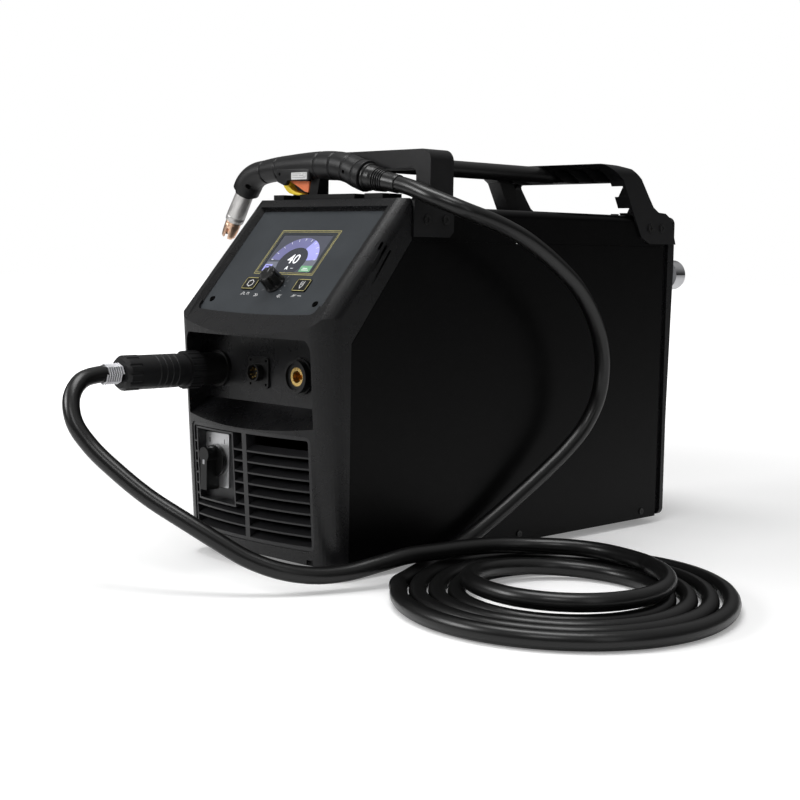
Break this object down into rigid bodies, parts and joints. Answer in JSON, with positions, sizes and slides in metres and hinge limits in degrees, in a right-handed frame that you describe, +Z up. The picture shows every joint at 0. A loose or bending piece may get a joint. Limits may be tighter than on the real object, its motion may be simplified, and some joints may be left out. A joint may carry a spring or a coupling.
{
  "type": "plasma cutter unit",
  "caption": "Inverter plasma cutter: black sheet case with sloping control panel, carry handles joined by a tube, torch on a rest, coiled torch lead and central connector",
  "frame": {"origin": "on the floor under the middle of the object without its lead", "axes": "+Z up, -Y towards the front with the controls, +X to the right seen from the front"},
  "size_m": [0.7105, 0.8277, 0.4548],
  "materials": {
    "sheet_black": "gloss",
    "tray_grey": "satin",
    "bezel_black": "satin",
    "handle_black": "satin",
    "torch_black": "satin",
    "knob_black": "satin",
    "plate_grey": "satin",
    "window_dark": "gloss",
    "board_green": "satin",
    "rubber_black": "matte",
    "lead_black": "gloss",
    "steel_black": "satin",
    "steel": "brushed",
    "brass": "satin",
    "copper": "satin",
    "aluminium": "satin",
    "silver": "satin",
    "can_blue": "gloss",
    "core_grey": "satin",
    "glass": "gloss",
    "orange": "satin",
    "yellow": "satin",
    "chrome": "polished"
  },
  "bodies": {
    "case": {"base_tray": "tray_grey", "feet": "rubber_black", "left_side_panel": "sheet_black", "right_side_panel": "sheet_black", "top_cover": "sheet_black", "front_bezel": "bezel_black", "front_grille": "bezel_black", "rear_bezel": "bezel_black", "front_handle": "handle_black", "rear_handle": "handle_black", "handle_tube": "steel_black", "control_plate": "plate_grey", "display_window": "window_dark", "control_board": "board_green", "torch_socket": "knob_black", "control_connector": "knob_black", "connector_pins": "brass", "earth_socket": "knob_black", "earth_insert": "brass", "switch_plate": "silver", "switch_body": "knob_black", "side_screws": "steel_black", "handle_screws": "steel_black", "front_screws": "steel_black", "heat_sink": "aluminium", "power_board": "board_green", "capacitors": "can_blue", "transformer": "core_grey", "choke": "copper", "fan_frame": "knob_black", "fan_guard": "steel_black", "solenoid_valve": "brass", "regulator": "aluminium", "pressure_gauge": "chrome", "gauge_lens": "glass", "air_inlet": "brass", "mains_gland": "knob_black", "torch_rest": "bezel_black", "torch_grip_left": "torch_black", "torch_grip_right": "torch_black", "torch_head": "torch_black", "retaining_cup": "steel", "nozzle": "copper", "lead_boot": "torch_black", "lead_upper": "lead_black", "lead_coil": "lead_black", "lead_lower": "lead_black", "plug_body": "torch_black", "plug_nut": "torch_black", "plug_spring": "steel"},
    "encoder_knob": {"encoder_knob": "knob_black"},
    "left_button": {"left_button": "knob_black"},
    "right_button": {"right_button": "knob_black"},
    "switch_lever": {"switch_lever": "knob_black"},
    "torch_trigger": {"torch_trigger": "orange"},
    "safety_lever": {"safety_lever": "yellow"},
    "plug_ring": {"plug_ring": "torch_black"},
    "regulator_knob": {"regulator_knob": "knob_black"},
    "fan_rotor": {"fan_rotor": "knob_black"},
    "gauge_needle": {"gauge_needle": "steel_black"}
  },
  "joints": [
    {"name": "encoder_knob_turn", "type": "hinge", "parent": "case", "child": "encoder_knob", "pos_m": [0.0405, -0.28357, 0.31211], "axis": [0, -0.7478, 0.6639], "continuous": true},
    {"name": "left_button_press", "type": "slide", "parent": "case", "child": "left_button", "axis": [0, 0.7478, -0.6639], "range_m": [0, 0.0008], "stiffness_N_per_m": 1500, "springref_m": -0.0004},
    {"name": "right_button_press", "type": "slide", "parent": "case", "child": "right_button", "axis": [0, 0.7478, -0.6639], "range_m": [0, 0.0008], "stiffness_N_per_m": 1500, "springref_m": -0.0004},
    {"name": "switch_lever_turn", "type": "hinge", "parent": "case", "child": "switch_lever", "pos_m": [-0.0325, -0.3059, 0.109], "axis": [0, -1, 0], "range_deg": [0, 90]},
    {"name": "torch_trigger_pull", "type": "hinge", "parent": "case", "child": "torch_trigger", "pos_m": [-0.033, -0.1859, 0.431], "axis": [0, -1, 0], "range_deg": [0, 8], "stiffness_Nm_per_rad": 1.5, "springref_deg": -8.59},
    {"name": "safety_lever_swing", "type": "hinge", "parent": "case", "child": "safety_lever", "pos_m": [-0.045, -0.1859, 0.43], "axis": [0, 1, 0], "range_deg": [0, 8], "stiffness_Nm_per_rad": 0.08, "springref_deg": -20.05},
    {"name": "plug_ring_turn", "type": "hinge", "parent": "case", "child": "plug_ring", "pos_m": [-0.045, -0.3259, 0.211], "axis": [0, -1, 0], "continuous": true},
    {"name": "regulator_knob_turn", "type": "hinge", "parent": "case", "child": "regulator_knob", "pos_m": [0.132, 0.2921, 0.357], "axis": [0, 0, 1], "continuous": true},
    {"name": "fan_turn", "type": "hinge", "parent": "case", "child": "fan_rotor", "pos_m": [0.037, 0.2551, 0.13], "axis": [0, 1, 0], "continuous": true},
    {"name": "gauge_needle_turn", "type": "hinge", "parent": "case", "child": "gauge_needle", "pos_m": [0.132, 0.3215, 0.319], "axis": [0, -1, 0], "range_deg": [0, 270]}
  ]
}
